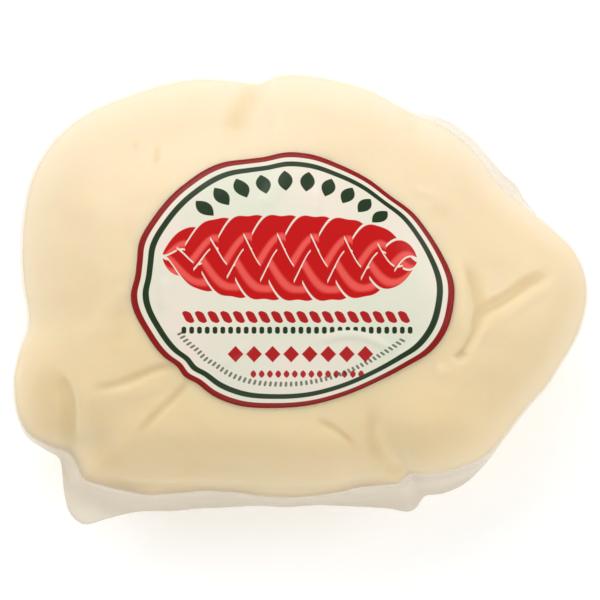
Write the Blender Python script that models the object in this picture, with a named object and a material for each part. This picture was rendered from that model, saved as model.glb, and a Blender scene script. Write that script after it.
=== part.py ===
"""Braided string cheese: a rope of stretched curd wound into a ball, sealed in clear film with an oval label.

Metres, +Z up. The pack lies on its back, label on top, with its origin on the table under its middle.
+X is to the reader's right when the label is read, +Y is towards the top of the label.
"""

import math
from dataclasses import dataclass

import bmesh
import bpy
import numpy as np
from mathutils import Vector
from mathutils.bvhtree import BVHTree

# The pack as a whole. The rim is the widest line round the ball, where the two films meet.
MIDDLE = (0.0, 0.0019)
RIM_HEIGHT = 0.0190
TOP_RISE = 0.0305
UNDER_DROP = 0.0197
TOP_FULLNESS = 2.15
UNDER_FULLNESS = 2.6
CROWN_HALF_LENGTH = 0.0590
CROWN_HALF_WIDTH = 0.0465
STEPS_ROUND = 192
STEPS_OVER = 96
RIM_CROWDING = 1.35
KEPT_SHARE = 0.24

# The edge of the cheese seen from above: degrees anticlockwise from +X, and metres from the middle.
CHEESE_EDGE = (
    (9, 0.0584), (21, 0.0508), (30, 0.0489), (45, 0.0476),  # from the tip up the right side
    (60, 0.0445), (70, 0.0450), (90, 0.0459),  # along the top
    (97, 0.0456), (101.5, 0.0441), (106, 0.0461),  # the notch in the top
    (130, 0.0549), (148, 0.0610), (182, 0.0583),  # round the large upper left turn
    (187, 0.0582), (196, 0.0628), (204, 0.0654), (210, 0.0647), (214, 0.0612),  # the small left turn
    (218, 0.0590), (226, 0.0584), (245, 0.0482), (257, 0.0453), (290, 0.0452),  # along the bottom
    (301, 0.0457), (311, 0.0494), (322, 0.0522), (332, 0.0540), (345, 0.0589),  # up to the tip
)

# The flat hem where the two films are sealed: degrees, and how far it stands out past the cheese.
HEM_REACH = (
    (0, 0.0), (18, 0.0), (27, 0.0019), (40, 0.0014), (52, 0.0010), (60, 0.0),  # a strip at the upper right
    (130, 0.0), (200, 0.0), (212, 0.0),
    (222, 0.0078), (226, 0.0098), (233, 0.0032),  # the lower left corner
    (241, 0.0026), (257, 0.0017), (288, 0.0034), (296, 0.0062),  # along the bottom
    (301, 0.0060), (306, 0.0042), (330, 0.0008),  # the lower right corner
)
HEM_TAPER = math.radians(5.5)
HEM_HALF_THICKNESS = 0.0005
HEM_SQUASH = 0.9
HEM_FULL_REACH = 0.0025
HEM_WAVES = 7
HEM_WAVE_HEIGHT = 0.0010


@dataclass
class Fold:
    """A stroke pressed into the ball where one turn of the rope lies against the next."""

    path: tuple
    width: float
    depth: float
    side: int = 1


# A positive depth is a valley between two turns, a negative one the round back of a turn.
TURNS = {
    "upper_turn": Fold(
        ((-0.003, 0.0395), (0.011, 0.037), (0.028, 0.032), (0.043, 0.020), (0.055, 0.008)), 0.0075, -0.0018
    ),
    "upper_left_turn": Fold(((-0.041, 0.023), (-0.025, 0.030)), 0.0170, -0.0010),
    "right_turn": Fold(((0.058, 0.0), (0.050, -0.014), (0.039, -0.027)), 0.0080, -0.0018),
    "low_right_knuckle": Fold(((0.0285, -0.020), (0.0280, -0.028)), 0.0075, -0.0030),
    "bottom_turn": Fold(((-0.036, -0.0265), (-0.015, -0.0285), (0.007, -0.031)), 0.0065, -0.0018),
    "left_turn": Fold(((-0.0580, -0.013), (-0.0585, -0.027)), 0.0075, 0.0030),
    "left_bank": Fold(((-0.0464, -0.018), (-0.0452, -0.027), (-0.0455, -0.035)), 0.0032, -0.0014),
    "right_dip": Fold(((0.033, 0.012), (0.041, 0.006)), 0.0080, 0.0026),
    "left_dip": Fold(((-0.040, -0.009), (-0.047, -0.013)), 0.0060, 0.0012),
}
VALLEYS = {
    "top_notch": Fold(((-0.0087, 0.0470), (-0.0108, 0.0425), (-0.0133, 0.0366)), 0.0028, 0.0012),
    "label_right": Fold(
        ((0.0248, 0.0218), (0.0299, 0.0142), (0.0358, 0.0057), (0.0383, -0.0019)), 0.0032, 0.0014
    ),
    "right_crease": Fold(((0.0535, 0.0068), (0.0457, 0.0023), (0.0381, -0.0028)), 0.0022, 0.0024),
    "lower_crease": Fold(((0.0383, -0.0023), (0.0358, -0.0074), (0.0330, -0.0123)), 0.0020, 0.0018),
    "knuckle_left": Fold(((0.0277, -0.0155), (0.0197, -0.0197), (0.0155, -0.0299)), 0.0036, 0.0017),
    "knuckle_foot": Fold(((0.0150, -0.0299), (0.0185, -0.0354), (0.0235, -0.0388)), 0.0033, 0.0021),
    "left_upper_crease": Fold(((-0.0250, -0.0138), (-0.0362, -0.0167), (-0.0453, -0.0180)), 0.0021, 0.0018),
    "left_lower_crease": Fold(((-0.0221, -0.0157), (-0.0284, -0.0218), (-0.0359, -0.0290)), 0.0023, 0.0018),
    "left_turn_crease": Fold(
        ((-0.0590, -0.0045), (-0.0535, -0.0133), (-0.0492, -0.0205), (-0.0483, -0.0330)), 0.0024, 0.0022
    ),
    "corner_hollow": Fold(
        ((-0.0426, -0.0290), (-0.0396, -0.0358), (-0.0311, -0.0390), (-0.0190, -0.0390)), 0.0040, 0.0017
    ),
    "bottom_valley": Fold(((-0.0231, -0.0372), (-0.0104, -0.0368), (0.0034, -0.0372)), 0.0040, 0.0010),
    "small_crease": Fold(((0.0049, -0.0248), (0.0087, -0.0269), (0.0112, -0.0303)), 0.0018, 0.0009),
}
UNDERSIDE = {
    "under_upper": Fold(
        ((-0.052, 0.020), (-0.030, 0.024), (0.000, 0.026), (0.030, 0.021), (0.046, 0.010)),
        0.0045, 0.0030, -1,
    ),
    "under_lower": Fold(
        ((-0.055, -0.008), (-0.034, -0.020), (-0.008, -0.025), (0.024, -0.022), (0.044, -0.014)),
        0.0045, 0.0030, -1,
    ),
    "under_left": Fold(((-0.052, 0.012), (-0.040, 0.004), (-0.036, -0.010)), 0.0040, 0.0024, -1),
    "under_right": Fold(((0.053, 0.000), (0.040, 0.004), (0.034, 0.014)), 0.0040, 0.0024, -1),
}
CURVE_SAMPLES = 14
FACING_BLEND = (-0.15, 0.35)

# The label: an oval of film, wavy where the film beneath it puckers.
LABEL_MIDDLE = (-0.0011, 0.0039)
LABEL_HALF_WIDTH = 0.0333
LABEL_HALF_HEIGHT = 0.0262
LABEL_PUCKERS = (
    (24, 9, -0.012), (42, 16, -0.030), (75, 14, 0.010), (101, 7, -0.018), (135, 16, -0.020),
    (178, 8, 0.030), (222, 6, -0.020), (238, 9, 0.018), (318, 14, -0.030), (345, 12, 0.012),
)
LABEL_GAP = 0.0005
LEAST_GAP = 0.00035
LABEL_THICKNESS = 0.0004
LABEL_RINGS = 9
LABEL_STEPS = 56
LABEL_SMOOTHING = 1
CLEAR_HEIGHT = 0.2
STEEPEST = 0.3

# Colours of the real thing, as linear values, with how rough each surface is.
CHEESE_COLOUR = (0.90, 0.77, 0.53, 1.0)
CHEESE_ROUGHNESS = 0.42
LABEL_COLOUR = (0.82, 0.81, 0.76, 1.0)
LABEL_ROUGHNESS = 0.30


def clear_scene():
    for thing in list(bpy.data.objects):
        bpy.data.objects.remove(thing)


def material(name, colour, roughness):
    made = bpy.data.materials.new(name)
    made.use_nodes = True
    shader = made.node_tree.nodes["Principled BSDF"]
    shader.inputs["Base Color"].default_value = colour
    shader.inputs["Roughness"].default_value = roughness
    shader.inputs["Metallic"].default_value = 0.0
    return made


def smooth_step(low, high, value):
    share = np.clip((value - low) / (high - low), 0.0, 1.0)
    return share * share * (3.0 - 2.0 * share)


def round_curve(knots, degrees):
    """A smooth closed curve through (degrees, value) knots, read at each angle."""
    angle, value = np.array(knots, float).T
    angle = np.concatenate([angle[-2:] - 360.0, angle, angle[:3] + 360.0])
    value = np.concatenate([value[-2:], value, value[:3]])
    slope = np.gradient(value, angle)
    at = np.mod(degrees, 360.0)
    i = np.clip(np.searchsorted(angle, at, side="right") - 1, 0, len(angle) - 2)
    span = angle[i + 1] - angle[i]
    t = (at - angle[i]) / span
    start = (1 + 2 * t) * (1 - t) ** 2 * value[i] + t * (1 - t) ** 2 * span * slope[i]
    end = t * t * (3 - 2 * t) * value[i + 1] - t * t * (1 - t) * span * slope[i + 1]
    return start + end


def ball_form(directions):
    """Where each direction from the middle meets the ball and its hem, before any fold is pressed in."""
    turn = np.arctan2(directions[:, 1], directions[:, 0])
    degrees = np.degrees(turn)
    latitude = np.arcsin(np.clip(directions[:, 2], -1.0, 1.0))
    latitude = np.sign(latitude) * (np.abs(latitude) * 2 / math.pi) ** RIM_CROWDING * math.pi / 2
    above = latitude > 0
    power = np.where(above, 2 / TOP_FULLNESS, 2 / UNDER_FULLNESS)
    out = np.abs(np.cos(latitude)) ** power
    up = np.abs(np.sin(latitude)) ** power * np.where(above, TOP_RISE, -UNDER_DROP)
    reach = np.maximum(round_curve(HEM_REACH, degrees), 0.0)
    fin = np.exp(-np.abs(latitude) / HEM_TAPER)
    hemmed = reach / (reach + HEM_FULL_REACH)
    flatness = HEM_SQUASH * np.sqrt(fin) * hemmed
    least = HEM_HALF_THICKNESS * np.sign(np.round(latitude, 6)) * hemmed * fin
    wave = HEM_WAVE_HEIGHT * np.sin(turn * HEM_WAVES) * fin
    # The crown is a plain oval. The uneven edge comes in towards the rim.
    crown = 1 / np.hypot(np.cos(turn) / CROWN_HALF_LENGTH, np.sin(turn) / CROWN_HALF_WIDTH)
    edge = round_curve(CHEESE_EDGE, degrees)
    radius = (crown + (edge - crown) * out**2) * out + reach * fin
    return np.stack(
        [
            MIDDLE[0] + radius * np.cos(turn),
            MIDDLE[1] + radius * np.sin(turn),
            RIM_HEIGHT + up * (1 - flatness) + least + wave,
        ],
        axis=1,
    )


def curve_through(path):
    """Points along a smooth curve through a stroke's own points."""
    points = np.array(path, float)
    ends = np.concatenate([[2 * points[0] - points[1]], points, [2 * points[-1] - points[-2]]])
    sampled = []
    for a, b, c, d in zip(ends, ends[1:], ends[2:], ends[3:]):
        t = np.linspace(0, 1, CURVE_SAMPLES, endpoint=False)[:, None]
        bend = (2 * a - 5 * b + 4 * c - d) * t**2 + (3 * b - a - 3 * c + d) * t**3
        sampled.append(b + 0.5 * ((c - a) * t + bend))
    return np.concatenate([*sampled, points[-1:]])


def pressed(points, normals, folds):
    """The points after every fold is pressed along the surface's normal, deepest along the stroke's line."""
    depth = np.zeros(len(points))
    for fold in folds.values():
        line = curve_through(fold.path)
        away = np.linalg.norm(points[:, None, :2] - line[None], axis=2).min(axis=1)
        facing = smooth_step(*FACING_BLEND, normals[:, 2] * fold.side)
        depth += fold.depth * np.exp(-((away / fold.width) ** 2)) * facing
    return points - normals * depth[:, None]


def mesh_arrays(mesh):
    points = np.empty(len(mesh.vertices) * 3)
    mesh.vertices.foreach_get("co", points)
    normals = np.empty(len(mesh.vertices) * 3)
    mesh.vertices.foreach_get("normal", normals)
    return points.reshape(-1, 3), normals.reshape(-1, 3)


def set_points(mesh, points):
    mesh.vertices.foreach_set("co", np.ascontiguousarray(points, np.float32).ravel())
    mesh.update()


def table_cutter():
    """The space under the table, which the pack's own weight presses its underside flat against."""
    shape = bmesh.new()
    bmesh.ops.create_cube(shape, size=0.2)
    mesh = bpy.data.meshes.new("table")
    shape.to_mesh(mesh)
    shape.free()
    cutter = bpy.data.objects.new("table", mesh)
    cutter.location.z = -0.1
    cutter.hide_render = True
    cutter.display_type = "WIRE"
    bpy.context.scene.collection.objects.link(cutter)
    return cutter


def wrapped_cheese(name):
    """The ball of cheese in its film, hem and all, as one solid."""
    shape = bmesh.new()
    bmesh.ops.create_uvsphere(shape, u_segments=STEPS_ROUND, v_segments=STEPS_OVER, radius=1.0)
    mesh = bpy.data.meshes.new(name)
    shape.to_mesh(mesh)
    shape.free()
    directions, _ = mesh_arrays(mesh)
    set_points(mesh, ball_form(directions))
    for folds in (TURNS, VALLEYS, UNDERSIDE):
        set_points(mesh, pressed(*mesh_arrays(mesh), folds))
    mesh.shade_smooth()
    pack = bpy.data.objects.new(name, mesh)
    bpy.context.scene.collection.objects.link(pack)
    mesh.materials.append(material("cheese_in_film", CHEESE_COLOUR, CHEESE_ROUGHNESS))
    thinned = pack.modifiers.new("thinned", "DECIMATE")
    thinned.ratio = KEPT_SHARE
    rest = pack.modifiers.new("rest", "BOOLEAN")
    rest.operation = "DIFFERENCE"
    rest.object = table_cutter()
    return pack


def label_edge(degrees):
    """How far out the label's edge lies, as a share of its plain oval."""
    share = np.ones_like(degrees)
    for centre, spread, height in LABEL_PUCKERS:
        apart = np.mod(degrees - centre + 180.0, 360.0) - 180.0
        share = share + height * np.exp(-((apart / spread) ** 2))
    return share


def keep_above(shape, surface, gap):
    """Lifts each point of the label that is nearer to the surface than the gap."""
    down = Vector((0.0, 0.0, -1.0))
    for vertex in shape.verts:
        over = Vector((vertex.co.x, vertex.co.y, CLEAR_HEIGHT))
        hit, normal, _, _ = surface.ray_cast(over, down)
        vertex.co.z = max(vertex.co.z, hit.z + gap / max(normal.z, STEEPEST))


def label(name, pack):
    """The printed oval, laid on the pack and bridging its creases as the taut film does."""
    faces = [polygon.vertices[:] for polygon in pack.data.polygons]
    smooth = BVHTree.FromPolygons([vertex.co for vertex in pack.data.vertices], faces)
    thinned = BVHTree.FromObject(pack, bpy.context.evaluated_depsgraph_get())
    shape = bmesh.new()
    centre = shape.verts.new((*LABEL_MIDDLE, 0.0))
    rings = []
    turns = np.linspace(0.0, 360.0, LABEL_STEPS, endpoint=False)
    edge = label_edge(turns)
    for ring in range(1, LABEL_RINGS + 1):
        share = ring / LABEL_RINGS
        # Inner rings are plain ovals, and take on the puckers towards the edge.
        out = share * (1 + (edge - 1) * share**2)
        x = LABEL_MIDDLE[0] + LABEL_HALF_WIDTH * out * np.cos(np.radians(turns))
        y = LABEL_MIDDLE[1] + LABEL_HALF_HEIGHT * out * np.sin(np.radians(turns))
        rings.append([shape.verts.new((a, b, 0.0)) for a, b in zip(x, y)])
    for i in range(LABEL_STEPS):
        after = (i + 1) % LABEL_STEPS
        shape.faces.new((centre, rings[0][i], rings[0][after]))
        for inner, outer in zip(rings, rings[1:]):
            shape.faces.new((inner[i], outer[i], outer[after], inner[after]))
    for _ in range(LABEL_SMOOTHING):
        keep_above(shape, smooth, LABEL_GAP)
        inside = [vertex for vertex in shape.verts if not vertex.is_boundary]
        bmesh.ops.smooth_vert(shape, verts=inside, factor=0.5, use_axis_z=True)
    keep_above(shape, smooth, LABEL_GAP)
    keep_above(shape, thinned, LEAST_GAP)
    shape.normal_update()
    mesh = bpy.data.meshes.new(name)
    shape.to_mesh(mesh)
    shape.free()
    mesh.shade_smooth()
    oval = bpy.data.objects.new(name, mesh)
    bpy.context.scene.collection.objects.link(oval)
    mesh.materials.append(material("printed_film", LABEL_COLOUR, LABEL_ROUGHNESS))
    thick = oval.modifiers.new("thick", "SOLIDIFY")
    thick.thickness = LABEL_THICKNESS
    thick.offset = 1.0
    return oval


def centre_on_origin(pieces):
    """Slides every piece so that the pack's box stands centred on the origin."""
    graph = bpy.context.evaluated_depsgraph_get()
    shown = pieces[0].evaluated_get(graph)
    corners = np.array([vertex.co for vertex in shown.data.vertices])
    middle = (corners.min(axis=0) + corners.max(axis=0)) / 2
    for piece in pieces:
        piece.location.x -= middle[0]
        piece.location.y -= middle[1]


def main():
    clear_scene()
    pack = wrapped_cheese("wrapped_cheese")
    bpy.context.view_layer.update()
    oval = label("label", pack)
    bpy.context.view_layer.update()
    centre_on_origin([pack, oval])


main()
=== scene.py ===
"""The looks of a ball of string cheese in clear film: the curd, the film with its hem, and the label."""

import math

import bpy
import numpy as np
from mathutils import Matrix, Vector


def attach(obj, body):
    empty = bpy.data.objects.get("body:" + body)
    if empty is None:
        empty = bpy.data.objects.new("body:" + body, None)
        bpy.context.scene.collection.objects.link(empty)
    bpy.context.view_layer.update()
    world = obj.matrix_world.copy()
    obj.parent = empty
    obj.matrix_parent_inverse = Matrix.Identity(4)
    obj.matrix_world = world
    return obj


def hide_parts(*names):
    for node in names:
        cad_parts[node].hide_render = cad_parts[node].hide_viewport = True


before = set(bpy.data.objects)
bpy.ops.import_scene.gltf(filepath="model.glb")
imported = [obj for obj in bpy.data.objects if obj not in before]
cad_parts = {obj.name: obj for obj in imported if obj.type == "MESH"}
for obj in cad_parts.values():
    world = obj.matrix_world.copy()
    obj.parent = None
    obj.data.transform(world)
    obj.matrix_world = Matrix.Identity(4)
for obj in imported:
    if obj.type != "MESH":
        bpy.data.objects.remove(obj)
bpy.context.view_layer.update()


# The ball of cheese. A rope of hot stretched curd is wound on itself, cooled in brine and pressed by the
# vacuum of its pack, so its turns merge into one uneven ball with soft creases where they meet. The curd is
# smooth, slightly waxy and lets light into its surface.

# The creases were placed looking straight down at the pack from this height above its rim, with their
# zero a little off the pack's own middle.
VIEW_HEIGHT = 0.9
READ_FROM = (-0.0007, -0.0002)

# The ball: the middle of its rim, how far it rises and drops from there, and how square its sides are.
BALL_MIDDLE = (0.0, 0.0019)
RIM_HEIGHT = 0.0190
TOP_RISE = 0.0305
UNDER_DROP = 0.0197
TOP_FULLNESS = 2.15
UNDER_FULLNESS = 2.6
CROWN_HALF_LENGTH = 0.0590
CROWN_HALF_WIDTH = 0.0465
RIM_CROWDING = 1.35
CHEESE_STEPS_ROUND = 440
CHEESE_STEPS_OVER = 220
FILM_CLEARANCE = 0.0003

# The edge of the cheese seen from above: degrees anticlockwise from +X, and metres from the middle.
CHEESE_EDGE = (
    (4, 0.0590), (8, 0.0577), (14, 0.0540), (18, 0.0513), (22, 0.0492), (25.4, 0.0479), (28.5, 0.0471),
    (34, 0.0467), (40, 0.0467), (49, 0.0455), (56, 0.0442), (62, 0.0440), (70, 0.0447), (80, 0.0450),
    (92, 0.0456), (97, 0.0453), (100.5, 0.0444), (104, 0.0452), (116, 0.0496), (124, 0.0521), (132, 0.0549),
    (140, 0.0582), (149, 0.0606), (157, 0.0611), (164, 0.0603), (180, 0.0582), (185, 0.0576), (188, 0.0581),
    (192, 0.0606), (200, 0.0644), (206, 0.0654), (208, 0.0652), (212, 0.0628), (215, 0.0603), (218, 0.0602),
    (221, 0.0610), (225, 0.0590), (229.9, 0.0562), (234, 0.0541), (237, 0.0519), (240.6, 0.0497),
    (244, 0.0477), (250, 0.0458), (254, 0.0450), (260, 0.0446), (265, 0.0443), (276, 0.0439), (282, 0.0439),
    (287, 0.0440), (292.5, 0.0450), (298, 0.0459), (301.4, 0.0450), (305.8, 0.0468), (311.5, 0.0496),
    (315, 0.0512), (318, 0.0521), (321, 0.0525), (328, 0.0529), (334, 0.0540), (340, 0.0559), (344, 0.0568),
    (348, 0.0582), (352, 0.0593), (356, 0.0598),
)

# The turns of rope, as strokes down their backs: path, width, depth. A negative depth stands out. A turn
# slopes away softly on both sides, out to three times its width.
TURNS = {
    "upper": (
        ((-0.003, 0.0395), (0.011, 0.037), (0.028, 0.032), (0.043, 0.020), (0.055, 0.008)), 0.0075, -0.0016,
    ),
    "upper_left": (((-0.041, 0.023), (-0.025, 0.030)), 0.0170, -0.0010),
    "right": (((0.058, 0.0), (0.050, -0.014), (0.039, -0.027)), 0.0080, -0.0016),
    "knuckle": (((0.0270, -0.0280), (0.0275, -0.0325)), 0.0080, -0.0023),
    "bottom": (((-0.036, -0.0265), (-0.015, -0.0285), (0.007, -0.031)), 0.0065, -0.0012),
    "right_dip": (((0.033, 0.012), (0.041, 0.006)), 0.0080, 0.0016),
}

# The creases between turns: path, half width on its left and on its right, depth.
CREASES = {
    "top_notch": (
        ((-0.0091, 0.0457), (-0.0112, 0.0426), (-0.0131, 0.0392), (-0.0142, 0.0358)),
        0.0040, 0.0034, 0.00038,
    ),
    "top_right_step": (((0.0222, 0.0409), (0.0235, 0.0383), (0.0244, 0.0349)), 0.0020, 0.0030, 0.00018),
    "label_shade": (((0.0277, 0.0195), (0.0299, 0.0186), (0.0320, 0.0178)), 0.0028, 0.0028, 0.00016),
    "label_right": (
        ((0.0356, 0.0072), (0.0369, 0.0038), (0.0379, 0.0000), (0.0379, -0.0032), (0.0373, -0.0055)),
        0.0026, 0.0014, 0.00050,
    ),
    "peak": (((0.0248, 0.0233), (0.0290, 0.0225)), 0.0020, 0.0020, -0.00035),
    "beside_label": (((0.0337, 0.0078), (0.0349, 0.0023), (0.0345, -0.0053)), 0.0016, 0.0028, -0.00045),
    "right_crease": (
        ((0.0527, 0.0055), (0.0485, 0.0030), (0.0441, 0.0000), (0.0400, -0.0025), (0.0381, -0.0044)),
        0.0015, 0.0026, 0.00074,
    ),
    "right_lip": (
        ((0.0540, 0.0034), (0.0493, 0.0006), (0.0447, -0.0028), (0.0409, -0.0053)),
        0.0018, 0.0020, -0.00025,
    ),
    "lower_crease": (
        ((0.0383, -0.0040), (0.0371, -0.0070), (0.0358, -0.0095), (0.0345, -0.0116)),
        0.0011, 0.0012, 0.00050,
    ),
    "lower_lip": (((0.0402, -0.0053), (0.0381, -0.0087), (0.0366, -0.0116)), 0.0011, 0.0013, -0.00028),
    "pit": (((0.0352, -0.0112), (0.0333, -0.0129)), 0.0016, 0.0016, 0.00080),
    "bump_by_pit": (((0.0294, -0.0140), (0.0309, -0.0163)), 0.0018, 0.0018, -0.00038),
    "facet": (((0.0364, -0.0097), (0.0362, -0.0203), (0.0347, -0.0299)), 0.0045, 0.0085, -0.00050),
    "knuckle_left": (
        ((0.0163, -0.0244), (0.0157, -0.0277), (0.0159, -0.0316), (0.0176, -0.0341)),
        0.0019, 0.0026, 0.00032,
    ),
    "knuckle_foot": (((0.0180, -0.0358), (0.0201, -0.0364), (0.0222, -0.0369)), 0.0022, 0.0022, 0.00042),
    "small": (
        ((0.0040, -0.0258), (0.0070, -0.0273), (0.0095, -0.0290), (0.0116, -0.0311)),
        0.0012, 0.0012, 0.00038,
    ),
    "trench_upper": (
        (
            (-0.0261, -0.0142), (-0.0307, -0.0150), (-0.0354, -0.0169),
            (-0.0392, -0.0182), (-0.0434, -0.0189),
        ),
        0.0015, 0.0016, 0.00052,
    ),
    "trench_lower": (
        ((-0.0237, -0.0176), (-0.0267, -0.0208), (-0.0303, -0.0241), (-0.0343, -0.0284)),
        0.0016, 0.0016, 0.00056,
    ),
    "between_bank": (
        ((-0.0290, -0.0176), (-0.0337, -0.0195), (-0.0409, -0.0210)), 0.0020, 0.0024, -0.00030,
    ),
    "lobe_ledge": (
        ((-0.0504, -0.0163), (-0.0487, -0.0193), (-0.0479, -0.0231), (-0.0477, -0.0320)),
        0.0009, 0.0038, 0.00075,
    ),
    "lobe_slope": (((-0.0549, -0.0155), (-0.0532, -0.0214), (-0.0519, -0.0299)), 0.0050, 0.0060, 0.00030),
    "corner_hollow": (
        ((-0.0426, -0.0277), (-0.0413, -0.0320), (-0.0383, -0.0362)), 0.0045, 0.0040, 0.00028,
    ),
    "bottom_edge_left": (
        (
            (-0.0405, -0.0388), (-0.0358, -0.0398), (-0.0311, -0.0402),
            (-0.0261, -0.0402), (-0.0201, -0.0400),
        ),
        0.0016, 0.0014, 0.00045,
    ),
    "bottom_edge": (
        (
            (-0.0218, -0.0402), (-0.0136, -0.0402), (-0.0040, -0.0407),
            (0.0055, -0.0405), (0.0125, -0.0396), (0.0184, -0.0383),
        ),
        0.0015, 0.0014, 0.00030,
    ),
    "bottom_band": (((-0.0273, -0.0354), (-0.0189, -0.0362), (-0.0104, -0.0371)), 0.0034, 0.0034, 0.00016),
    "left_slope": (((-0.0366, 0.0028), (-0.0419, -0.0038), (-0.0470, -0.0106)), 0.0024, 0.0024, -0.00028),
    "left_fold": (((-0.0366, -0.0015), (-0.0383, -0.0061), (-0.0392, -0.0100)), 0.0032, 0.0032, 0.00016),
    "left_bank": (((-0.0464, -0.0159), (-0.0453, -0.0218), (-0.0449, -0.0299)), 0.0030, 0.0012, -0.00030),
    "nick_left": (((-0.0349, 0.0337), (-0.0347, 0.0318)), 0.0009, 0.0009, 0.00025),
    "nick_right": (((-0.0301, 0.0330), (-0.0305, 0.0288)), 0.0009, 0.0009, 0.00028),
}

# The creases of its underside, in the same form.
UNDERSIDE = {
    "upper": (
        ((-0.052, 0.020), (-0.030, 0.024), (0.000, 0.026), (0.030, 0.021), (0.046, 0.010)),
        0.008, 0.006, 0.0030,
    ),
    "lower": (
        ((-0.055, -0.008), (-0.034, -0.020), (-0.008, -0.025), (0.024, -0.022), (0.044, -0.014)),
        0.006, 0.008, 0.0030,
    ),
    "left": (((-0.052, 0.012), (-0.040, 0.004), (-0.036, -0.010)), 0.007, 0.007, 0.0024),
    "right": (((0.053, 0.000), (0.040, 0.004), (0.034, 0.014)), 0.007, 0.007, 0.0024),
}

# The creases round its side, below the rim: the way round from +X, where a degree counts as a millimetre, and
# the height, then as above.
SIDE_CREASES = {
    "front": (
        ((-0.136, 0.006), (-0.114, 0.012), (-0.088, 0.009), (-0.060, 0.013), (-0.036, 0.008)),
        0.003, 0.002, 0.0016,
    ),
    "front_left": (((-0.174, 0.008), (-0.160, 0.012), (-0.145, 0.013)), 0.0025, 0.0025, 0.0012),
    "right": (((-0.028, 0.013), (-0.008, 0.008), (0.014, 0.011), (0.034, 0.006)), 0.003, 0.002, 0.0016),
    "back": (((0.046, 0.012), (0.070, 0.007), (0.098, 0.011), (0.124, 0.007)), 0.002, 0.003, 0.0016),
    "back_left": (((0.128, 0.012), (0.148, 0.008), (0.172, 0.011)), 0.0025, 0.0025, 0.0014),
}

# How finely a stroke is followed, how much of its length its ends fade over, how deep a crease takes the full
# painted shade of its colour, how far out a turn is followed, and how far upright a surface may stand and
# still take a stroke.
STROKE_SAMPLES = 24
STROKE_END = 0.22
CREASE_FULL_SHADE = 0.0004
TURN_REACH = 3
FACING_BLEND = (-0.15, 0.35)


def smooth_step(low, high, value):
    share = np.clip((value - low) / (high - low), 0.0, 1.0)
    return share * share * (3.0 - 2.0 * share)


def round_curve(knots, degrees):
    """A smooth closed curve through (degrees, value) knots, read at each angle."""
    angle, value = np.array(knots, float).T
    angle = np.concatenate([angle[-2:] - 360.0, angle, angle[:3] + 360.0])
    value = np.concatenate([value[-2:], value, value[:3]])
    slope = np.gradient(value, angle)
    at = np.mod(degrees, 360.0)
    i = np.clip(np.searchsorted(angle, at, side="right") - 1, 0, len(angle) - 2)
    span = angle[i + 1] - angle[i]
    t = (at - angle[i]) / span
    start = (1 + 2 * t) * (1 - t) ** 2 * value[i] + t * (1 - t) ** 2 * span * slope[i]
    end = t * t * (3 - 2 * t) * value[i + 1] - t * t * (1 - t) * span * slope[i + 1]
    return start + end


# The hem belongs to the film, but the ball's form is worked out with it: how fast it thins out of the ball,
# how thick it is, how much it flattens the ball beside it and how soon, and how the rim waves up and down.
HEM_TAPER = math.radians(5.5)
HEM_HALF_THICKNESS = 0.0004
HEM_SQUASH = 0.9
HEM_FULL_REACH = 0.0025
RIM_WAVES = 7
RIM_WAVE_HEIGHT = 0.0010

# The cheese itself has none.
NO_HEM = ((0, 0.0), (90, 0.0), (180, 0.0), (270, 0.0))


def ball_of(directions, hem_reach):
    """The ball's surface in each direction from its middle, with the hem as a fin out past its rim."""
    turn = np.arctan2(directions[:, 1], directions[:, 0])
    degrees = np.degrees(turn)
    latitude = np.arcsin(np.clip(directions[:, 2], -1.0, 1.0))
    latitude = np.sign(latitude) * (np.abs(latitude) * 2 / math.pi) ** RIM_CROWDING * math.pi / 2
    above = latitude > 0
    power = np.where(above, 2 / TOP_FULLNESS, 2 / UNDER_FULLNESS)
    out = np.abs(np.cos(latitude)) ** power
    up = np.abs(np.sin(latitude)) ** power * np.where(above, TOP_RISE, -UNDER_DROP)
    reach = np.maximum(round_curve(hem_reach, degrees), 0.0)
    fin = np.exp(-np.abs(latitude) / HEM_TAPER)
    hem = reach / (reach + HEM_FULL_REACH) * fin
    least = HEM_HALF_THICKNESS * np.sign(np.round(latitude, 6)) * hem
    wave = RIM_WAVE_HEIGHT * np.sin(turn * RIM_WAVES) * fin
    crown = 1 / np.hypot(np.cos(turn) / CROWN_HALF_LENGTH, np.sin(turn) / CROWN_HALF_WIDTH)
    edge = round_curve(CHEESE_EDGE, degrees)
    radius = (crown + (edge - crown) * out**2) * out + reach * fin
    across = READ_FROM[0] + BALL_MIDDLE[0] + radius * np.cos(turn)
    along = READ_FROM[1] + BALL_MIDDLE[1] + radius * np.sin(turn)
    height = RIM_HEIGHT + up * (1 - HEM_SQUASH * hem) + least + wave
    return np.stack([across, along, height], axis=1)


def curve_through(path):
    """Points along a smooth curve through a stroke's own points."""
    points = np.array(path, float)
    ends = np.concatenate([[2 * points[0] - points[1]], points, [2 * points[-1] - points[-2]]])
    sampled = []
    for a, b, c, d in zip(ends, ends[1:], ends[2:], ends[3:]):
        t = np.linspace(0, 1, STROKE_SAMPLES, endpoint=False)[:, None]
        bend = (2 * a - 5 * b + 4 * c - d) * t**2 + (3 * b - a - 3 * c + d) * t**3
        sampled.append(b + 0.5 * ((c - a) * t + bend))
    return np.concatenate([*sampled, points[-1:]])


def seen_from_above(points):
    """Where each point shows on the plane of the rim to an eye straight above the pack."""
    nearer = VIEW_HEIGHT / (VIEW_HEIGHT - (points[:, 2] - RIM_HEIGHT))
    return (points[:, :2] - np.array(READ_FROM)) * nearer[:, None]


def round_the_side(points):
    """Where each point lies on the side unrolled flat: the way round, a millimetre to the degree, and up."""
    way_round = np.degrees(np.arctan2(points[:, 1], points[:, 0])) * 0.001
    return np.stack([way_round, points[:, 2]], axis=1)


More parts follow.
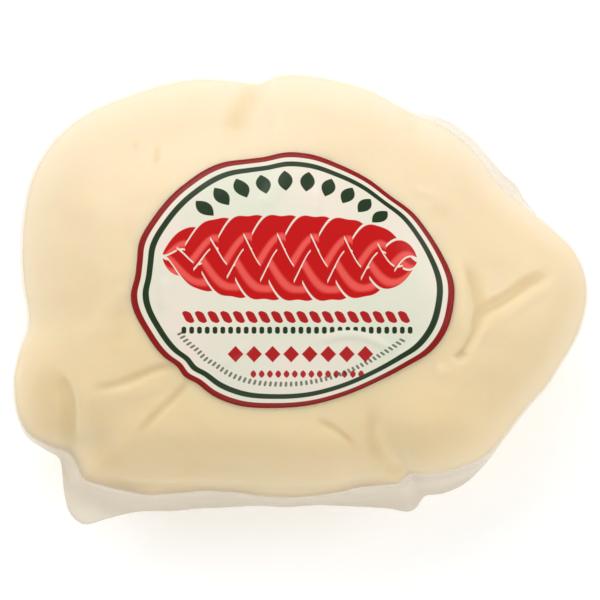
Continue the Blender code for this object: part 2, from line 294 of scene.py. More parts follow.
def under_stroke(places, path, left, right):
    """Which places a stroke reaches, how far out across it each one lies, and how the stroke's ends fade."""
    line = curve_through(path)
    widest = max(left, right)
    low = line.min(axis=0) - widest
    high = line.max(axis=0) + widest
    near = np.nonzero(np.all((places > low) & (places < high), axis=1))[0]
    away = places[near, None] - line[None]
    apart = np.linalg.norm(away, axis=2)
    nearest = apart.argmin(axis=1)
    rows = np.arange(len(near))
    heading = np.gradient(line, axis=0)[nearest]
    off = away[rows, nearest]
    on_left = heading[:, 0] * off[:, 1] - heading[:, 1] * off[:, 0] > 0
    share = apart[rows, nearest] / np.where(on_left, left, right)
    along = nearest / (len(line) - 1)
    fade = smooth_step(-STROKE_END / 2, STROKE_END, along)
    fade = fade * smooth_step(-STROKE_END / 2, STROKE_END, 1 - along)
    return near, share, fade


def pressed_turns(points, normals):
    """How deep each point lies for the soft backs and dips of the turns."""
    places = seen_from_above(points)
    facing = smooth_step(*FACING_BLEND, normals[:, 2])
    depth = np.zeros(len(points))
    for path, width, deep in TURNS.values():
        near, share, _ = under_stroke(places, path, TURN_REACH * width, TURN_REACH * width)
        depth[near] += deep * np.exp(-((TURN_REACH * share) ** 2)) * facing[near]
    return depth


def pressed_creases(points, normals, wider=1.0, deeper=1.0):
    """How deep each point lies in the creases of the top, the underside and the side, whose ends fade out."""
    from_above = seen_from_above(points)
    upward = smooth_step(*FACING_BLEND, normals[:, 2])
    downward = smooth_step(*FACING_BLEND, -normals[:, 2])
    depth = np.zeros(len(points))
    for creases, places, facing in (
        (CREASES, from_above, upward),
        (UNDERSIDE, from_above, downward),
        (SIDE_CREASES, round_the_side(points), np.ones(len(points))),
    ):
        for path, left, right, deep in creases.values():
            near, share, fade = under_stroke(places, path, left * wider, right * wider)
            depth[near] += deep * deeper * np.clip(1 - share**2, 0.0, 1.0) ** 2 * fade * facing[near]
    return depth


def mesh_arrays(mesh):
    points = np.empty(len(mesh.vertices) * 3)
    mesh.vertices.foreach_get("co", points)
    normals = np.empty(len(mesh.vertices) * 3)
    mesh.vertices.foreach_get("normal", normals)
    return points.reshape(-1, 3), normals.reshape(-1, 3)


def set_points(mesh, points):
    mesh.vertices.foreach_set("co", np.ascontiguousarray(points, np.float32).ravel())
    mesh.update()


def wound_ball(name, steps_round, steps_over, hem_reach):
    """A mesh of the ball with the backs and dips of its turns, but without its creases."""
    bpy.ops.object.select_all(action="DESELECT")
    bpy.ops.mesh.primitive_uv_sphere_add(
        segments=steps_round, ring_count=steps_over, radius=1.0, location=(0, 0, 0)
    )
    made = bpy.context.object
    made.name = name
    directions, _ = mesh_arrays(made.data)
    set_points(made.data, ball_of(directions, hem_reach))
    points, normals = mesh_arrays(made.data)
    set_points(made.data, points - normals * pressed_turns(points, normals)[:, None])
    return made


def keep_values(mesh, name, values):
    """Stores one number for each point, which the material reads by its name."""
    layer = mesh.attributes.new(name, "FLOAT", "POINT")
    layer.data.foreach_set("value", np.ascontiguousarray(values, np.float32))


def new_material(name):
    """A material with its node tree, its Principled node, and the place on the piece in metres."""
    made = bpy.data.materials.new(name)
    made.use_nodes = True
    tree = made.node_tree
    place = tree.nodes.new("ShaderNodeTexCoord").outputs["Object"]
    return made, tree, tree.nodes["Principled BSDF"], place


def new_group(name, inputs, outputs):
    """A shader node group, whose sockets are given as names and kinds, with its own inputs and outputs."""
    group = bpy.data.node_groups.new(name, "ShaderNodeTree")
    for way, sockets in (("INPUT", inputs), ("OUTPUT", outputs)):
        for socket, kind in sockets.items():
            group.interface.new_socket(socket, in_out=way, socket_type=f"NodeSocket{kind}")
    return group, group.nodes.new("NodeGroupInput").outputs, group.nodes.new("NodeGroupOutput").inputs


def joined(tree, socket, value):
    """Links a socket to another node's output, or sets it."""
    if isinstance(value, bpy.types.NodeSocket):
        tree.links.new(value, socket)
    else:
        socket.default_value = value


def placed(tree, group, **values):
    """A group placed in a material or in another group, with its own values."""
    node = tree.nodes.new("ShaderNodeGroup")
    node.node_tree = group
    for name, value in values.items():
        joined(tree, node.inputs[name], value)
    return node.outputs


def maths(tree, operation, *values):
    node = tree.nodes.new("ShaderNodeMath")
    node.operation = operation
    for socket, value in zip(node.inputs, values):
        joined(tree, socket, value)
    return node.outputs[0]


def noise(tree, place, scale, detail):
    node = tree.nodes.new("ShaderNodeTexNoise")
    joined(tree, node.inputs["Vector"], place)
    joined(tree, node.inputs["Scale"], scale)
    node.inputs["Detail"].default_value = detail
    return node.outputs["Fac"]


def between(tree, value, low, high):
    """How far a value has come from low, where it is 0, to high, where it is 1. High may be the smaller."""
    node = tree.nodes.new("ShaderNodeMapRange")
    for socket, number in zip(node.inputs, (value, low, high)):
        joined(tree, socket, number)
    return node.outputs["Result"]


def blended(tree, share, first, second):
    """One colour turning into another."""
    node = tree.nodes.new("ShaderNodeMix")
    node.data_type = "RGBA"
    joined(tree, node.inputs["Factor"], share)
    for socket, colour in zip((node.inputs[6], node.inputs[7]), (first, second)):
        joined(tree, socket, colour)
    return node.outputs[2]


def stored(tree, name):
    node = tree.nodes.new("ShaderNodeAttribute")
    node.attribute_name = name
    return node.outputs["Fac"]


def place_parts(tree, place):
    """The X and the Y of a place."""
    node = tree.nodes.new("ShaderNodeSeparateXYZ")
    joined(tree, node.inputs[0], place)
    return node.outputs["X"], node.outputs["Y"]


def uneven_surface():
    """The low waves of a soft surface: so many to a metre and so high in metres, coarse and fine."""
    group, given, made = new_group(
        "uneven_surface",
        {
            "Place": "Vector", "Coarse": "Float", "CoarseHeight": "Float",
            "Fine": "Float", "FineHeight": "Float",
        },
        {"Normal": "Vector"},
    )
    coarse = noise(group, given["Place"], given["Coarse"], 1.0)
    coarse = maths(group, "MULTIPLY", coarse, given["CoarseHeight"])
    fine = noise(group, given["Place"], given["Fine"], 1.0)
    height = maths(group, "MULTIPLY_ADD", fine, given["FineHeight"], coarse)
    bump = group.nodes.new("ShaderNodeBump")
    bump.inputs["Distance"].default_value = 1.0
    joined(group, bump.inputs["Height"], height)
    joined(group, made["Normal"], bump.outputs["Normal"])
    return group


uneven = uneven_surface()

cheese = wound_ball("cheese_ball", CHEESE_STEPS_ROUND, CHEESE_STEPS_OVER, NO_HEM)
points, normals = mesh_arrays(cheese.data)
shaded_crease = pressed_creases(points, normals)
set_points(cheese.data, points - normals * (shaded_crease + FILM_CLEARANCE)[:, None])
points, _ = mesh_arrays(cheese.data)
points[:, 2] = np.maximum(points[:, 2], FILM_CLEARANCE)
set_points(cheese.data, points)
# How far each point lies into a crease, for the painted shade that darkens the curd there.
keep_values(cheese.data, "shaded_crease", np.clip(shaded_crease / CREASE_FULL_SHADE, 0.0, 1.0))
bpy.ops.object.shade_smooth()

# The curd is palest beyond the top of the label. Painted shade makes it darker and yellower towards the
# label's foot and in its creases, and it is deeper in colour in faint clouds of its own.
CURD_PALE = (0.845, 0.705, 0.495, 1.0)
CURD_SHADED_BELOW = (0.825, 0.665, 0.385, 1.0)
CURD_SHADE_AND_CLOUD = (0.735, 0.560, 0.275, 1.0)
PALE_TO_SHADED_BELOW = (0.040, -0.030)
CREASE_SHADE = 0.55
CLOUD_TINT = 0.15
CLOUD_RANGE = (0.35, 0.75)

curd, tree, shader, place = new_material("cream_curd")
_, along_y = place_parts(tree, place)
clouds = between(tree, noise(tree, place, 60.0, 2.0), *CLOUD_RANGE)
# Painted shade: the curd turns darker and yellower towards the lower side, where less light falls.
painted_shade_below = between(tree, along_y, *PALE_TO_SHADED_BELOW)
cloud_tint = maths(tree, "MULTIPLY", clouds, CLOUD_TINT)
# Painted shade darkens the creases. The clouds are the curd's own uneven colour.
crease_shade_and_clouds = maths(tree, "MULTIPLY_ADD", stored(tree, "shaded_crease"), CREASE_SHADE, cloud_tint)
body = blended(tree, painted_shade_below, CURD_PALE, CURD_SHADED_BELOW)
tree.links.new(blended(tree, crease_shade_and_clouds, body, CURD_SHADE_AND_CLOUD), shader.inputs["Base Color"])
shader.inputs["Roughness"].default_value = 0.42
shader.inputs["Subsurface Weight"].default_value = 0.9
shader.inputs["Subsurface Radius"].default_value = (1.0, 0.65, 0.35)
shader.inputs["Subsurface Scale"].default_value = 0.004
relief = placed(tree, uneven, Place=place, Coarse=130.0, CoarseHeight=0.0007, Fine=330.0, FineHeight=0.00006)
tree.links.new(relief["Normal"], shader.inputs["Normal"])
cheese.data.materials.append(curd)
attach(cheese, "root")
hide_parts("wrapped_cheese")


# The clear film. Two sheets of soft plastic are drawn tight on the ball by vacuum and sealed to each other
# round it, and what is left past the seal is trimmed to a narrow flat hem. It shines, bridges the creases,
# and turns hazy where two layers lie on each other.
FILM_STEPS_ROUND = 420
FILM_STEPS_OVER = 170
FILM_STANDS_OFF = 0.00025

# It follows the cheese's creases this much wider and only this share as deep.
FILM_BRIDGES = 1.15
FILM_DEPTH_SHARE = 0.8

# How far the film's edge stands out past the cheese's: degrees, and metres.
HEM_REACH = (
    (0, 0.0003), (14, 0.0003), (18, 0.0005), (22, 0.0010), (25.4, 0.0022), (28.5, 0.0019), (34, 0.0015),
    (40, 0.0014), (49, 0.0013), (56, 0.0004), (62, 0.0003), (130, 0.0003), (180, 0.0003), (206, 0.0003),
    (208, 0.0004), (212, 0.0008), (215, 0.0017), (218, 0.0033), (221, 0.0048), (225, 0.0088), (228, 0.0095),
    (229.9, 0.0072), (234, 0.0040), (237, 0.0040), (240.6, 0.0041), (244, 0.0040), (250, 0.0033),
    (254, 0.0028), (260, 0.0018), (265, 0.0018), (276, 0.0019), (282, 0.0029), (287, 0.0041), (292.5, 0.0052),
    (296.5, 0.0066), (301.4, 0.0060), (305.8, 0.0059), (311.5, 0.0041), (315, 0.0021), (318, 0.0008),
    (321, 0.0004), (328, 0.0003), (345, 0.0003),
)

# Where the two sheets lie against each other they look milky: how far that reaches in over the cheese, and
# how strong it is, at each angle.
MILKY_OVERLAP = (
    (0, 0.0008), (14, 0.0008), (22, 0.0018), (50, 0.0018), (60, 0.0008), (200, 0.0010), (207, 0.0030),
    (216, 0.0045), (228, 0.0035), (234, 0.0026), (262, 0.0026), (268, 0.0020), (282, 0.0020), (288, 0.0028),
    (312, 0.0022), (320, 0.0010),
)
MILKY_STRENGTH = (
    (0, 0.45), (14, 0.45), (22, 0.75), (50, 0.75), (60, 0.45), (180, 0.45), (205, 0.60), (213, 1.00),
    (300, 1.00), (316, 0.80), (330, 0.50),
)

# It fades out between these two heights above the rim, and between these two below it.
MILKY_ABOVE = (0.004, 0.012)
MILKY_BELOW = (0.0025, 0.008)

# The two sheets part this far outside the cheese's own edge.
SHEETS_PART = 0.00015


def milky_near_edge(points):
    """How milky the film is at each point: all of the hem, and what lies close inside it near the rim."""
    middle = np.array(READ_FROM) + np.array(BALL_MIDDLE)
    off = points[:, :2] - middle
    degrees = np.degrees(np.arctan2(off[:, 1], off[:, 0]))
    inside = round_curve(CHEESE_EDGE, degrees) + SHEETS_PART - np.hypot(off[:, 0], off[:, 1])
    overlap = np.interp(degrees, *np.transpose(MILKY_OVERLAP), period=360)
    strength = np.interp(degrees, *np.transpose(MILKY_STRENGTH), period=360)
    above = points[:, 2] - RIM_HEIGHT
    near_rim = 1 - smooth_step(*MILKY_ABOVE, above) - smooth_step(*MILKY_BELOW, -above)
    return strength * near_rim * (1 - smooth_step(0.0, overlap, inside))


film = wound_ball("clear_film", FILM_STEPS_ROUND, FILM_STEPS_OVER, HEM_REACH)
points, normals = mesh_arrays(film.data)
depth = pressed_creases(points, normals, FILM_BRIDGES, FILM_DEPTH_SHARE)
set_points(film.data, points - normals * depth[:, None])
drawn_tight = film.modifiers.new("drawn_tight", "SHRINKWRAP")
drawn_tight.target = cheese
drawn_tight.wrap_method = "NEAREST_SURFACEPOINT"
drawn_tight.wrap_mode = "OUTSIDE"
drawn_tight.offset = FILM_STANDS_OFF
bpy.ops.object.modifier_apply(modifier="drawn_tight")
points, _ = mesh_arrays(film.data)
points[:, 2] = np.maximum(points[:, 2], 0.0)
set_points(film.data, points)
keep_values(film.data, "milky", milky_near_edge(points))
bpy.ops.object.shade_smooth()

# How much the film covers what is behind it where it is clear, and what milkiness and a slanting view add.
# Its colour turns milky between the two last shares.
CLEAR_COLOUR = (0.93, 0.90, 0.84, 1.0)
MILKY_COLOUR = (0.79, 0.70, 0.55, 1.0)
CLEAR_COVER = 0.04
MILKY_COVER = 0.52
EDGE_COVER = 0.10
MILKY_TINT = (0.05, 0.40)

plastic, tree, shader, place = new_material("clear_film")
milky = stored(tree, "milky")
colour = blended(tree, between(tree, milky, *MILKY_TINT), CLEAR_COLOUR, MILKY_COLOUR)
tree.links.new(colour, shader.inputs["Base Color"])
shader.inputs["Roughness"].default_value = 0.22
shader.inputs["Specular IOR Level"].default_value = 0.8
facing = tree.nodes.new("ShaderNodeLayerWeight")
facing.inputs["Blend"].default_value = 0.25
cover = maths(tree, "MULTIPLY_ADD", milky, MILKY_COVER, CLEAR_COVER)
cover = maths(tree, "MULTIPLY_ADD", facing.outputs["Facing"], EDGE_COVER, cover)
tree.links.new(cover, shader.inputs["Alpha"])
relief = placed(tree, uneven, Place=place, Coarse=170.0, CoarseHeight=0.00018, Fine=500.0, FineHeight=0.00002)
tree.links.new(relief["Normal"], shader.inputs["Normal"])
film.data.materials.append(plastic)
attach(film, "root")
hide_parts("wrapped_cheese")


# The label: an oval of printed film, stuck on the pack where it was smooth, and puckered since with the
# film beneath. Its print is a red and a green line round the edge, an arc of leaves, a red plait, and rows
# of small marks.
LABEL_MIDDLE = (-0.0019, 0.0035)
LABEL_HALF_WIDTH = 0.0327
LABEL_HALF_HEIGHT = 0.0259
LABEL_STEPS = 288
LABEL_RINGS = 48
LABEL_THICKNESS = 0.00012
LABEL_OFF_FILM = 0.00010
LABEL_DROPPED_FROM = 0.08
MILLIMETRE = 0.001

# How far out the label's edge lies, as a share of its plain oval, at each angle round the oval.
LABEL_EDGE = (
    (0, 1.007), (6, 0.985), (12, 0.963), (24, 0.935), (36, 0.927), (48, 0.911), (60, 0.937), (72, 0.967),
    (84, 1.012), (92, 1.022), (101, 1.000), (107, 1.010), (115, 1.038), (132, 1.028), (150, 1.013),
    (163, 1.014), (171, 0.994), (178, 0.994), (186, 1.026), (205, 1.014), (217, 1.010), (223, 0.996),
    (228, 1.020), (233, 1.012), (241, 1.040), (250, 1.046), (264, 1.012), (276, 0.990), (288, 0.967),
    (306, 0.960), (318, 0.990), (326, 1.028), (336, 1.042), (348, 1.027),
)

# The folds that stand up in the label: path in millimetres from its middle, half width on each side, height,
# and how much painted glare, a painted highlight that clears the print, lies along each one.
LABEL_FOLDS = (
    (((5.2, -12.0), (10.6, -10.9), (15.7, -11.6), (20.0, -14.0)), 1.0, 1.5, 0.50, 1.0),
    (((4.9, 19.0), (5.3, 14.2)), 1.1, 1.3, 0.40, 0.0),
    (((-26.4, 0.5), (-26.6, -5.8)), 1.2, 1.2, 0.42, 0.0),
    (((-3.0, 20.5), (-5.6, 15.0)), 2.6, 2.6, 0.30, 0.0),
    (((-15.0, -17.5), (-9.0, -13.0)), 1.4, 1.8, 0.25, 0.0),
    (((20.5, -17.0), (27.0, -11.5)), 1.2, 1.4, 0.30, 0.3),
)

bpy.ops.object.select_all(action="DESELECT")
bpy.ops.mesh.primitive_circle_add(vertices=LABEL_STEPS, radius=1.0, fill_type="NOTHING", location=(0, 0, 0))
label = bpy.context.object
label.name = "printed_label"
bpy.ops.object.mode_set(mode="EDIT")
bpy.ops.mesh.select_all(action="SELECT")
for ring in range(LABEL_RINGS, 1, -1):
    bpy.ops.mesh.extrude_edges_move()
    inward = (ring - 1) / ring
    bpy.ops.transform.resize(value=(inward, inward, inward), center_override=(0, 0, 0))
bpy.ops.mesh.extrude_edges_move()
bpy.ops.mesh.merge(type="CENTER")
bpy.ops.mesh.select_all(action="SELECT")
bpy.ops.mesh.normals_make_consistent(inside=False)
bpy.ops.object.mode_set(mode="OBJECT")
points, _ = mesh_arrays(label.data)
rim = np.hypot(points[:, 0], points[:, 1])
degrees = np.degrees(np.arctan2(points[:, 1], points[:, 0]))
out = 1 + (round_curve(LABEL_EDGE, degrees) - 1) * rim**2
points[:, 0] = LABEL_MIDDLE[0] + LABEL_HALF_WIDTH * out * points[:, 0]
points[:, 1] = LABEL_MIDDLE[1] + LABEL_HALF_HEIGHT * out * points[:, 1]
points[:, 2] = LABEL_DROPPED_FROM
set_points(label.data, points)
keep_values(label.data, "rim", rim)
laid = label.modifiers.new("laid", "SHRINKWRAP")
laid.target = film
laid.wrap_method = "PROJECT"
laid.use_project_z = True
laid.use_negative_direction = True
laid.use_positive_direction = False
laid.offset = LABEL_OFF_FILM
bpy.ops.object.modifier_apply(modifier="laid")
_, normals = mesh_arrays(label.data)
if normals[:, 2].mean() < 0:
    label.data.flip_normals()
points, _ = mesh_arrays(label.data)
from_middle = (points[:, :2] - np.array(LABEL_MIDDLE)) / MILLIMETRE
# Painted glare: a painted highlight along some folds, where the print is left off and the bare film shows.
painted_glare = np.zeros(len(points))
for path, left, right, height, glare_share in LABEL_FOLDS:
    near, share, fade = under_stroke(from_middle, path, left, right)
    rise = np.clip(1 - share**2, 0.0, 1.0) ** 2 * fade
    painted_glare[near] = np.maximum(painted_glare[near], rise * glare_share)
    points[near, 2] += rise * height * MILLIMETRE
set_points(label.data, points)
keep_values(label.data, "painted_glare", painted_glare)
wall = label.modifiers.new("wall", "SOLIDIFY")
wall.thickness = LABEL_THICKNESS
wall.offset = 1.0
bpy.ops.object.modifier_apply(modifier="wall")
bpy.ops.object.shade_smooth()

PRINT_SOFTNESS = 0.06


def inked(tree, inside):
    """Ink where a distance inside a shape's edge, in millimetres, is more than nothing."""
    return between(tree, inside, -PRINT_SOFTNESS, PRINT_SOFTNESS)


def row_of_marks():
    """Equal marks in a row, from round leaves to square dashes by how blunt they are."""
    given_names = ("Along", "Across", "Pitch", "Filled", "HalfHeight", "Bluntness", "Slant", "HalfRun")
    group, given, made = new_group("row_of_marks", dict.fromkeys(given_names, "Float"), {"Ink": "Float"})
    leaning = maths(group, "MULTIPLY_ADD", given["Across"], given["Slant"], given["Along"])
    cell = maths(group, "FRACT", maths(group, "DIVIDE", leaning, given["Pitch"]))
    off_middle = maths(group, "ABSOLUTE", maths(group, "SUBTRACT", cell, 0.5))
    aside = maths(group, "MULTIPLY", off_middle, given["Pitch"])
    height = maths(group, "DIVIDE", maths(group, "ABSOLUTE", given["Across"]), given["HalfHeight"])
    rise = maths(group, "MINIMUM", height, 1.0)
    width = maths(group, "SUBTRACT", 1.0, maths(group, "POWER", rise, given["Bluntness"]))
    half = maths(group, "MULTIPLY", maths(group, "MULTIPLY", given["Pitch"], given["Filled"]), 0.5)
    inside = maths(group, "SUBTRACT", maths(group, "MULTIPLY", half, width), aside)
    in_run = maths(group, "LESS_THAN", maths(group, "ABSOLUTE", leaning), given["HalfRun"])
    in_height = maths(group, "LESS_THAN", height, 1.0)
    allowed = maths(group, "MULTIPLY", in_run, in_height)
    joined(group, made["Ink"], maths(group, "MULTIPLY", inked(group, inside), allowed))
    return group


# The printed plait, in millimetres from the label's middle: where it lies, its length, how far its strands
# swing, how long one swing is, how blunt its ends are, and each strand with its light line and its gap.
PLAIT_MIDDLE = (-0.7, 4.7)
PLAIT_TILT = 0.02
PLAIT_LENGTH = 52.4
PLAIT_SWING = 5.4
PLAIT_TURN = 20.6
PLAIT_TAPER = 3.0
STRAND_HALF = 3.5
STRAND_GAP = 0.35
STRAND_LIT_AT = -0.30
STRAND_LIT_REACH = (0.28, 0.10)

# Heights within the slack count as the same one, and a strand always passes higher than the lowest layer.
LAYER_SLACK = 0.001
LOWEST_LAYER = 0.1


def plait_strand():
    """One of the plait's three strands: how high it passes, its ink, and the place across it."""
    group, given, made = new_group(
        "plait_strand",
        {"Along": "Float", "Across": "Float", "Phase": "Float"},
        {"Over": "Float", "Ink": "Float", "Side": "Float"},
    )
    turns = maths(group, "MULTIPLY_ADD", given["Along"], 1 / PLAIT_TURN, given["Phase"])
    angle = maths(group, "MULTIPLY", turns, 2 * math.pi)
    far = maths(group, "ABSOLUTE", maths(group, "DIVIDE", given["Along"], PLAIT_LENGTH / 2))
    taken = maths(group, "POWER", maths(group, "MINIMUM", far, 1.0), PLAIT_TAPER)
    full = maths(group, "SQRT", maths(group, "SUBTRACT", 1.0, taken))
    swing = maths(group, "MULTIPLY", full, PLAIT_SWING)
    centre = maths(group, "MULTIPLY", maths(group, "SINE", angle), swing)
    climb = maths(group, "MULTIPLY", maths(group, "COSINE", angle), swing)
    slope = maths(group, "MULTIPLY", climb, 2 * math.pi / PLAIT_TURN)
    steep = maths(group, "SQRT", maths(group, "MULTIPLY_ADD", slope, slope, 1.0))
    aside = maths(group, "DIVIDE", maths(group, "SUBTRACT", given["Across"], centre), steep)
    half = maths(group, "MULTIPLY", full, STRAND_HALF)
    inside = maths(group, "SUBTRACT", half, maths(group, "ABSOLUTE", aside))
    height = maths(group, "ADD", maths(group, "SINE", maths(group, "MULTIPLY", angle, 2.0)), 2.0)
    joined(group, made["Over"], maths(group, "MULTIPLY", maths(group, "GREATER_THAN", inside, 0.0), height))
    joined(group, made["Ink"], inked(group, maths(group, "SUBTRACT", inside, STRAND_GAP)))
    joined(group, made["Side"], maths(group, "DIVIDE", aside, STRAND_HALF))
    return group


def plait(tree, along, across):
    """The ink of the whole plait, and how lit each part of a strand is printed."""
    strand = plait_strand()
    strands = [placed(tree, strand, Along=along, Across=across, Phase=turn / 3) for turn in range(3)]
    top = strands[0]["Over"]
    for other in strands[1:]:
        top = maths(tree, "MAXIMUM", top, other["Over"])
    top = maths(tree, "MAXIMUM", maths(tree, "SUBTRACT", top, LAYER_SLACK), LOWEST_LAYER)
    ink = lit = 0.0
    for one in strands:
        shows = maths(tree, "MULTIPLY", maths(tree, "GREATER_THAN", one["Over"], top), one["Ink"])
        ink = maths(tree, "ADD", shows, ink)
        off_line = maths(tree, "ABSOLUTE", maths(tree, "SUBTRACT", one["Side"], STRAND_LIT_AT))
        shine = between(tree, off_line, *STRAND_LIT_REACH)
        lit = maths(tree, "MULTIPLY_ADD", shows, shine, lit)
    return ink, lit


def band(tree, value, low, high, soft):
    """Ink where a value lies in a band."""
    rising = between(tree, value, low - soft, low + soft)
    return maths(tree, "MULTIPLY", rising, between(tree, value, high + soft, high - soft))


# The inks, and the white film they are on, with its faint cooler clouds.
PAPER = (0.790, 0.705, 0.600, 1.0)
PAPER_COOL = (0.690, 0.705, 0.570, 1.0)
RED = (0.500, 0.004, 0.004, 1.0)
RED_LIT = (0.760, 0.090, 0.075, 1.0)
ROW_RED = (0.400, 0.010, 0.010, 1.0)
RING_RED = (0.250, 0.007, 0.005, 1.0)
GREEN = (0.014, 0.034, 0.011, 1.0)
PAPER_CLOUDS = (0.40, 0.62)

# The rings, as shares of the way from the label's middle to its edge. The red one runs out over the edge.
RED_RING = (0.961, 1.200)
GREEN_RING = (0.892, 0.930)
RING_SOFTNESS = 0.0016

# The arc of leaves and the arc of small marks: how far out, the angle of the middle, and how many.
MEAN_RADIUS = 29.6
LEAF_SHARE = 0.785
LEAF_MIDDLE = math.radians(88.5)
LEAF_PITCH = math.radians(10.1) * MEAN_RADIUS * LEAF_SHARE
LEAF_RUN = 10
SMALL_SHARE = 0.815
SMALL_MIDDLE = math.radians(-92)
SMALL_PITCH = 0.95
SMALL_RUN = 52
SMALL_INK = 0.8

# A row's print is cleared by painted glare, a painted highlight on a fold, where the glare is more than the
# first share, and whole below the second.
PRINT_CLEARED_BY_GLARE = (0.35, 0.15)

print_on_film, tree, shader, place = new_material("label_print")
centring = tree.nodes.new("ShaderNodeMapping")
centring.vector_type = "POINT"
joined(tree, centring.inputs["Vector"], place)
centring.inputs["Scale"].default_value = (1 / MILLIMETRE,) * 3
centring.inputs["Location"].default_value = (-LABEL_MIDDLE[0] / MILLIMETRE, -LABEL_MIDDLE[1] / MILLIMETRE, 0)
along, across = place_parts(tree, centring.outputs[0])
oval_x = maths(tree, "DIVIDE", along, LABEL_HALF_WIDTH / MILLIMETRE)
oval_y = maths(tree, "DIVIDE", across, LABEL_HALF_HEIGHT / MILLIMETRE)
rim = stored(tree, "rim")


def arc_place(middle, share):
    """The place along an arc of the label and across it, in millimetres, from the arc's own middle."""
    turned_x = maths(
        tree, "MULTIPLY_ADD", oval_x, math.cos(middle), maths(tree, "MULTIPLY", oval_y, math.sin(middle))
    )
    turned_y = maths(
        tree, "MULTIPLY_ADD", oval_y, math.cos(middle), maths(tree, "MULTIPLY", oval_x, -math.sin(middle))
    )
    turn = maths(tree, "ARCTAN2", turned_y, turned_x)
    outward = maths(tree, "SUBTRACT", rim, share)
    return maths(tree, "MULTIPLY", turn, MEAN_RADIUS * share), maths(tree, "MULTIPLY", outward, MEAN_RADIUS)


marks = row_of_marks()
faint = between(tree, noise(tree, place, 48.0, 2.0), *PAPER_CLOUDS)
colour = blended(tree, faint, PAPER, PAPER_COOL)

plait_along = maths(tree, "SUBTRACT", along, PLAIT_MIDDLE[0])
plait_off = maths(tree, "SUBTRACT", across, PLAIT_MIDDLE[1])
plait_across = maths(tree, "MULTIPLY_ADD", along, PLAIT_TILT, plait_off)
ink, lit = plait(tree, plait_along, plait_across)
colour = blended(tree, ink, colour, blended(tree, lit, RED, RED_LIT))

# Rows: middle across the label and along it, pitch, share filled, half height, bluntness, slant, marks, ink.
ROWS = (
    (-7.4, 0.6, 2.6, 0.70, 1.25, 6.0, 0.5, 18, ROW_RED),
    (-10.1, 0.8, 1.6, 0.62, 0.75, 6.0, 0.0, 30, GREEN),
    (-15.0, 1.5, 3.8, 0.86, 1.70, 1.0, 0.0, 8, ROW_RED),
    (-19.1, 2.9, 1.7, 0.70, 0.80, 2.0, 0.0, 14, ROW_RED),
)
for row_across, row_along, pitch, filled, half_height, bluntness, slant, count, row_ink in ROWS:
    row = placed(
        tree,
        marks,
        Along=maths(tree, "SUBTRACT", along, row_along),
        Across=maths(tree, "SUBTRACT", across, row_across),
        Pitch=pitch,
        Filled=filled,
        HalfHeight=half_height,
        Bluntness=bluntness,
        Slant=slant,
        HalfRun=pitch * count / 2,
    )
    # Painted highlight: the row's print is left off where glare lies on a fold.
    print_outside_glare = maths(tree, "MULTIPLY", row["Ink"], between(tree, stored(tree, "painted_glare"), *PRINT_CLEARED_BY_GLARE))
    colour = blended(tree, print_outside_glare, colour, row_ink)

leaf_along, leaf_across = arc_place(LEAF_MIDDLE, LEAF_SHARE)
leaves = placed(
    tree, marks, Along=leaf_along, Across=leaf_across, Pitch=LEAF_PITCH, Filled=0.66, HalfHeight=2.3,
    Bluntness=2.0, Slant=0.0, HalfRun=LEAF_PITCH * LEAF_RUN / 2,
)
colour = blended(tree, leaves["Ink"], colour, GREEN)
small_along, small_across = arc_place(SMALL_MIDDLE, SMALL_SHARE)
small_marks = placed(
    tree, marks, Along=small_along, Across=small_across, Pitch=SMALL_PITCH, Filled=0.5, HalfHeight=0.62,
    Bluntness=6.0, Slant=0.0, HalfRun=SMALL_PITCH * SMALL_RUN / 2,
)
colour = blended(tree, maths(tree, "MULTIPLY", small_marks["Ink"], SMALL_INK), colour, GREEN)
colour = blended(tree, band(tree, rim, *RED_RING, RING_SOFTNESS), colour, RING_RED)
colour = blended(tree, band(tree, rim, *GREEN_RING, RING_SOFTNESS), colour, GREEN)
tree.links.new(colour, shader.inputs["Base Color"])
shader.inputs["Roughness"].default_value = 0.24
shader.inputs["Specular IOR Level"].default_value = 0.20
relief = placed(tree, uneven, Place=place, Coarse=120.0, CoarseHeight=0.00030, Fine=420.0, FineHeight=0.00002)
tree.links.new(relief["Normal"], shader.inputs["Normal"])
label.data.materials.append(print_on_film)
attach(label, "root")
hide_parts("label")


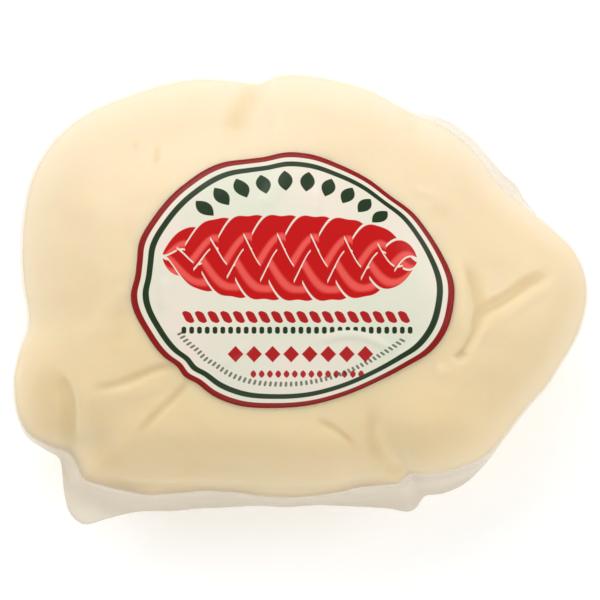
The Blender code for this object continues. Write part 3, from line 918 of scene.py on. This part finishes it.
# The floor, the lights and the camera, which aren't part of the pack. The floor is a plain pale sheet, and
# the light is soft and comes mostly from beyond the top of the label.
FLOOR_SIZE = 6.0
FLOOR_LEVEL = -0.0002
bpy.ops.object.select_all(action="DESELECT")
bpy.ops.mesh.primitive_plane_add(size=FLOOR_SIZE, location=(0, 0, FLOOR_LEVEL))
floor = bpy.context.object
floor.name = "floor"
pale, _, shader, _ = new_material("pale_floor")
shader.inputs["Base Color"].default_value = (0.97, 0.97, 0.97, 1.0)
shader.inputs["Roughness"].default_value = 0.8
shader.inputs["Specular IOR Level"].default_value = 0.2
shader.inputs["Emission Color"].default_value = (1.0, 1.0, 1.0, 1.0)
shader.inputs["Emission Strength"].default_value = 0.2
floor.data.materials.append(pale)

# Each light: where it stands, how wide it is in metres, and its watts.
LIGHTS = {
    "beyond": ((-0.15, 0.95, 0.80), 0.8, 4.6),
    "left": ((-0.70, 0.65, 0.80), 0.8, 4.5),
    "right": ((0.95, 0.15, 0.75), 0.8, 4.0),
    "near": ((0.0, -0.80, 0.90), 0.8, 2.5),
}
for name, (at, across, power) in LIGHTS.items():
    lamp = bpy.data.lights.new(name, "AREA")
    lamp.size = across
    lamp.energy = power
    holder = bpy.data.objects.new(name, lamp)
    holder.location = at
    holder.rotation_euler = (Vector((0, 0, RIM_HEIGHT)) - Vector(at)).to_track_quat("-Z", "Y").to_euler()
    bpy.context.scene.collection.objects.link(holder)

sky = bpy.data.worlds.new("studio")
sky.use_nodes = True
sky.node_tree.nodes["Background"].inputs["Color"].default_value = (1.0, 1.0, 1.0, 1.0)
sky.node_tree.nodes["Background"].inputs["Strength"].default_value = 0.50
bpy.context.scene.world = sky
bpy.context.scene.view_settings.view_transform = "Standard"

# One pixel of the 600-pixel frame covers this much of the plane of the rim.
PIXEL = 0.0002118
FRAME_PIXELS = 600
lens = bpy.data.cameras.new("camera")
lens.sensor_width = 36.0
lens.lens = lens.sensor_width * VIEW_HEIGHT / (FRAME_PIXELS * PIXEL)
lens.clip_start = 0.01
camera = bpy.data.objects.new("camera", lens)
camera.location = (READ_FROM[0] + PIXEL, READ_FROM[1] - PIXEL, RIM_HEIGHT + VIEW_HEIGHT)
bpy.context.scene.collection.objects.link(camera)
bpy.context.scene.camera = camera
